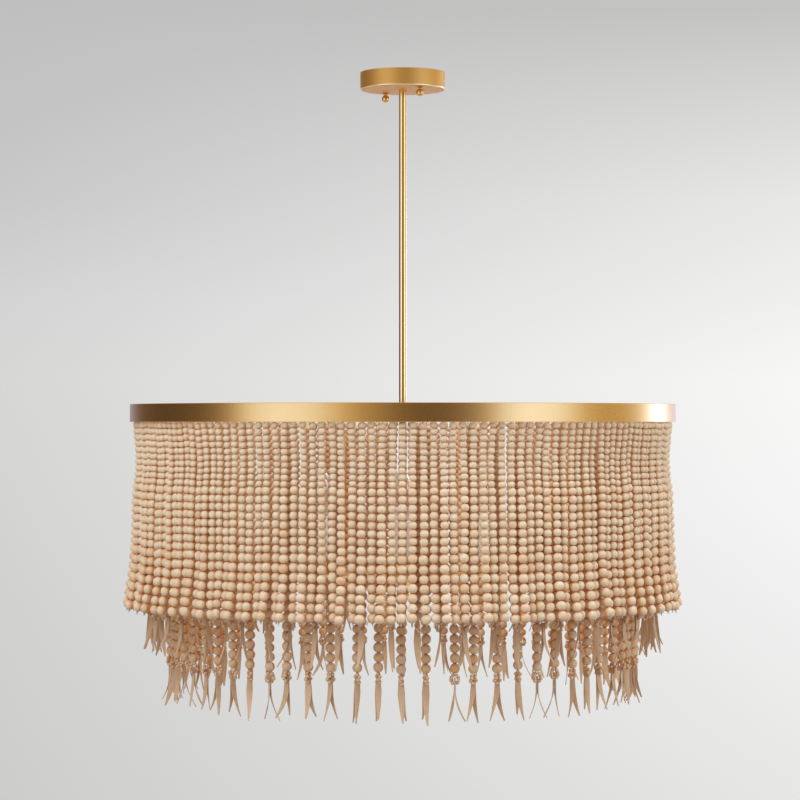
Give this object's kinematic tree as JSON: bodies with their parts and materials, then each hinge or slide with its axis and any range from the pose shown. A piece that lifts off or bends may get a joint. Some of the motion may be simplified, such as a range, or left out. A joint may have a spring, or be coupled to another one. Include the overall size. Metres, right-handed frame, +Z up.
{
  "type": "beaded chandelier",
  "caption": "Drum chandelier: a gold hoop on a down rod, hung with curtains of wooden bead strands and leather tassels round a cluster of candle lamps.",
  "frame": {"origin": "on the ceiling plane, where the down rod's axis meets it", "axes": "+Z up along the rod, -Y towards the viewer"},
  "size_m": [0.8216, 0.8216, 0.9211],
  "materials": {
    "satin_gold": "satin gold plate with a fine sandy grain on the hoop",
    "zinc_steel": "zinc plated",
    "raw_wood": "turned, unfinished",
    "tan_leather": "soft, matt",
    "silver_crimp": "polished",
    "ivory_sleeve": "smooth candle sleeve",
    "bulb_glass": "clear",
    "lead_jacket": "smooth"
  },
  "bodies": {
    "fixture": {"crossbar": "zinc_steel", "stud_1": "zinc_steel", "stud_2": "zinc_steel", "nipple": "zinc_steel", "lock_nut": "zinc_steel", "down_rod": "satin_gold", "spoke_frame": "satin_gold", "lower_stem": "satin_gold", "ring_band": "satin_gold", "outer_hanging_ring": "satin_gold", "middle_hanging_ring": "satin_gold", "inner_hanging_ring": "satin_gold", "lamp_hub": "satin_gold", "lamp_arm_1": "satin_gold", "lamp_arm_2": "satin_gold", "lamp_arm_3": "satin_gold", "lamp_arm_4": "satin_gold", "lamp_arm_5": "satin_gold", "lamp_arm_6": "satin_gold", "bottom_finial": "satin_gold", "candle_holder_1": "ivory_sleeve", "candle_holder_2": "ivory_sleeve", "candle_holder_3": "ivory_sleeve", "candle_holder_4": "ivory_sleeve", "candle_holder_5": "ivory_sleeve", "candle_holder_6": "ivory_sleeve", "supply_lead": "lead_jacket"},
    "canopy": {"canopy": "satin_gold"},
    "ball_nut_1": {"ball_nut_1": "satin_gold"},
    "ball_nut_2": {"ball_nut_2": "satin_gold"},
    "bulb_1": {"bulb_1": "bulb_glass"},
    "bulb_2": {"bulb_2": "bulb_glass"},
    "bulb_3": {"bulb_3": "bulb_glass"},
    "bulb_4": {"bulb_4": "bulb_glass"},
    "bulb_5": {"bulb_5": "bulb_glass"},
    "bulb_6": {"bulb_6": "bulb_glass"},
    "outer_panel_1": {"outer_strands_1": "raw_wood"},
    "outer_panel_2": {"outer_strands_2": "raw_wood"},
    "outer_panel_3": {"outer_strands_3": "raw_wood"},
    "outer_panel_4": {"outer_strands_4": "raw_wood"},
    "outer_panel_5": {"outer_strands_5": "raw_wood"},
    "outer_panel_6": {"outer_strands_6": "raw_wood"},
    "outer_panel_7": {"outer_strands_7": "raw_wood"},
    "outer_panel_8": {"outer_strands_8": "raw_wood"},
    "outer_panel_9": {"outer_strands_9": "raw_wood"},
    "outer_panel_10": {"outer_strands_10": "raw_wood"},
    "outer_panel_11": {"outer_strands_11": "raw_wood"},
    "outer_panel_12": {"outer_strands_12": "raw_wood"},
    "middle_panel_1": {"middle_tassel_strands_1": "raw_wood"},
    "middle_panel_2": {"middle_tassel_strands_2": "raw_wood"},
    "middle_panel_3": {"middle_tassel_strands_3": "raw_wood"},
    "middle_panel_4": {"middle_tassel_strands_4": "raw_wood"},
    "middle_panel_5": {"middle_tassel_strands_5": "raw_wood"},
    "middle_panel_6": {"middle_tassel_strands_6": "raw_wood"},
    "inner_panel_1": {"inner_tassel_strands_1": "raw_wood"},
    "inner_panel_2": {"inner_tassel_strands_2": "raw_wood"},
    "inner_panel_3": {"inner_tassel_strands_3": "raw_wood"},
    "inner_panel_4": {"inner_tassel_strands_4": "raw_wood"},
    "inner_panel_5": {"inner_tassel_strands_5": "raw_wood"},
    "inner_panel_6": {"inner_tassel_strands_6": "raw_wood"}
  },
  "joints": [
    {"name": "canopy_slide", "type": "slide", "parent": "fixture", "child": "canopy", "axis": [0, 0, -1], "range_m": [0, 0.3]},
    {"name": "ball_nut_1_turn", "type": "hinge", "parent": "canopy", "child": "ball_nut_1", "pos_m": [-0.02532, 0.03959, -0.03], "axis": [0, 0, 1], "continuous": true},
    {"name": "ball_nut_2_turn", "type": "hinge", "parent": "canopy", "child": "ball_nut_2", "pos_m": [0.02532, -0.03959, -0.03], "axis": [0, 0, 1], "continuous": true},
    {"name": "bulb_1_turn", "type": "hinge", "parent": "fixture", "child": "bulb_1", "pos_m": [0.12124, 0.07, -0.6557], "axis": [0, 0, 1], "continuous": true},
    {"name": "bulb_2_turn", "type": "hinge", "parent": "fixture", "child": "bulb_2", "pos_m": [0, 0.14, -0.6557], "axis": [0, 0, 1], "continuous": true},
    {"name": "bulb_3_turn", "type": "hinge", "parent": "fixture", "child": "bulb_3", "pos_m": [-0.12124, 0.07, -0.6557], "axis": [0, 0, 1], "continuous": true},
    {"name": "bulb_4_turn", "type": "hinge", "parent": "fixture", "child": "bulb_4", "pos_m": [-0.12124, -0.07, -0.6557], "axis": [0, 0, 1], "continuous": true},
    {"name": "bulb_5_turn", "type": "hinge", "parent": "fixture", "child": "bulb_5", "pos_m": [0, -0.14, -0.6557], "axis": [0, 0, 1], "continuous": true},
    {"name": "bulb_6_turn", "type": "hinge", "parent": "fixture", "child": "bulb_6", "pos_m": [0.12124, -0.07, -0.6557], "axis": [0, 0, 1], "continuous": true},
    {"name": "outer_panel_1_swing", "type": "hinge", "parent": "fixture", "child": "outer_panel_1", "pos_m": [0.389, 0, -0.51], "axis": [0, -1, 0], "range_deg": [0, 20]},
    {"name": "outer_panel_2_swing", "type": "hinge", "parent": "fixture", "child": "outer_panel_2", "pos_m": [0.33688, 0.1945, -0.51], "axis": [0.5, -0.866, 0], "range_deg": [0, 20]},
    {"name": "outer_panel_3_swing", "type": "hinge", "parent": "fixture", "child": "outer_panel_3", "pos_m": [0.1945, 0.33688, -0.51], "axis": [0.866, -0.5, 0], "range_deg": [0, 20]},
    {"name": "outer_panel_4_swing", "type": "hinge", "parent": "fixture", "child": "outer_panel_4", "pos_m": [0, 0.389, -0.51], "axis": [1, 0, 0], "range_deg": [0, 20]},
    {"name": "outer_panel_5_swing", "type": "hinge", "parent": "fixture", "child": "outer_panel_5", "pos_m": [-0.1945, 0.33688, -0.51], "axis": [0.866, 0.5, 0], "range_deg": [0, 20]},
    {"name": "outer_panel_6_swing", "type": "hinge", "parent": "fixture", "child": "outer_panel_6", "pos_m": [-0.33688, 0.1945, -0.51], "axis": [0.5, 0.866, 0], "range_deg": [0, 20]},
    {"name": "outer_panel_7_swing", "type": "hinge", "parent": "fixture", "child": "outer_panel_7", "pos_m": [-0.389, 0, -0.51], "axis": [0, 1, 0], "range_deg": [0, 20]},
    {"name": "outer_panel_8_swing", "type": "hinge", "parent": "fixture", "child": "outer_panel_8", "pos_m": [-0.33688, -0.1945, -0.51], "axis": [-0.5, 0.866, 0], "range_deg": [0, 20]},
    {"name": "outer_panel_9_swing", "type": "hinge", "parent": "fixture", "child": "outer_panel_9", "pos_m": [-0.1945, -0.33688, -0.51], "axis": [-0.866, 0.5, 0], "range_deg": [0, 20]},
    {"name": "outer_panel_10_swing", "type": "hinge", "parent": "fixture", "child": "outer_panel_10", "pos_m": [0, -0.389, -0.51], "axis": [-1, 0, 0], "range_deg": [0, 20]},
    {"name": "outer_panel_11_swing", "type": "hinge", "parent": "fixture", "child": "outer_panel_11", "pos_m": [0.1945, -0.33688, -0.51], "axis": [-0.866, -0.5, 0], "range_deg": [0, 20]},
    {"name": "outer_panel_12_swing", "type": "hinge", "parent": "fixture", "child": "outer_panel_12", "pos_m": [0.33688, -0.1945, -0.51], "axis": [-0.5, -0.866, 0], "range_deg": [0, 20]},
    {"name": "middle_panel_1_swing", "type": "hinge", "parent": "fixture", "child": "middle_panel_1", "pos_m": [0.35342, 0, -0.51], "axis": [0, -1, 0], "range_deg": [-1.5, 1]},
    {"name": "middle_panel_2_swing", "type": "hinge", "parent": "fixture", "child": "middle_panel_2", "pos_m": [0.17671, 0.30607, -0.51], "axis": [0.866, -0.5, 0], "range_deg": [-1.5, 1]},
    {"name": "middle_panel_3_swing", "type": "hinge", "parent": "fixture", "child": "middle_panel_3", "pos_m": [-0.17671, 0.30607, -0.51], "axis": [0.866, 0.5, 0], "range_deg": [-1.5, 1]},
    {"name": "middle_panel_4_swing", "type": "hinge", "parent": "fixture", "child": "middle_panel_4", "pos_m": [-0.35342, 0, -0.51], "axis": [0, 1, 0], "range_deg": [-1.5, 1]},
    {"name": "middle_panel_5_swing", "type": "hinge", "parent": "fixture", "child": "middle_panel_5", "pos_m": [-0.17671, -0.30607, -0.51], "axis": [-0.866, 0.5, 0], "range_deg": [-1.5, 1]},
    {"name": "middle_panel_6_swing", "type": "hinge", "parent": "fixture", "child": "middle_panel_6", "pos_m": [0.17671, -0.30607, -0.51], "axis": [-0.866, -0.5, 0], "range_deg": [-1.5, 1]},
    {"name": "inner_panel_1_swing", "type": "hinge", "parent": "fixture", "child": "inner_panel_1", "pos_m": [0.3244, 0.01545, -0.51], "axis": [0.0476, -0.9989, 0], "range_deg": [-2, 1]},
    {"name": "inner_panel_2_swing", "type": "hinge", "parent": "fixture", "child": "inner_panel_2", "pos_m": [0.14882, 0.28867, -0.51], "axis": [0.8888, -0.4582, 0], "range_deg": [-2, 1]},
    {"name": "inner_panel_3_swing", "type": "hinge", "parent": "fixture", "child": "inner_panel_3", "pos_m": [-0.17558, 0.27321, -0.51], "axis": [0.8413, 0.5406, 0], "range_deg": [-2, 1]},
    {"name": "inner_panel_4_swing", "type": "hinge", "parent": "fixture", "child": "inner_panel_4", "pos_m": [-0.3244, -0.01545, -0.51], "axis": [-0.0476, 0.9989, 0], "range_deg": [-2, 1]},
    {"name": "inner_panel_5_swing", "type": "hinge", "parent": "fixture", "child": "inner_panel_5", "pos_m": [-0.14882, -0.28867, -0.51], "axis": [-0.8888, 0.4582, 0], "range_deg": [-2, 1]},
    {"name": "inner_panel_6_swing", "type": "hinge", "parent": "fixture", "child": "inner_panel_6", "pos_m": [0.17558, -0.27321, -0.51], "axis": [-0.8413, -0.5406, 0], "range_deg": [-2, 1]}
  ]
}
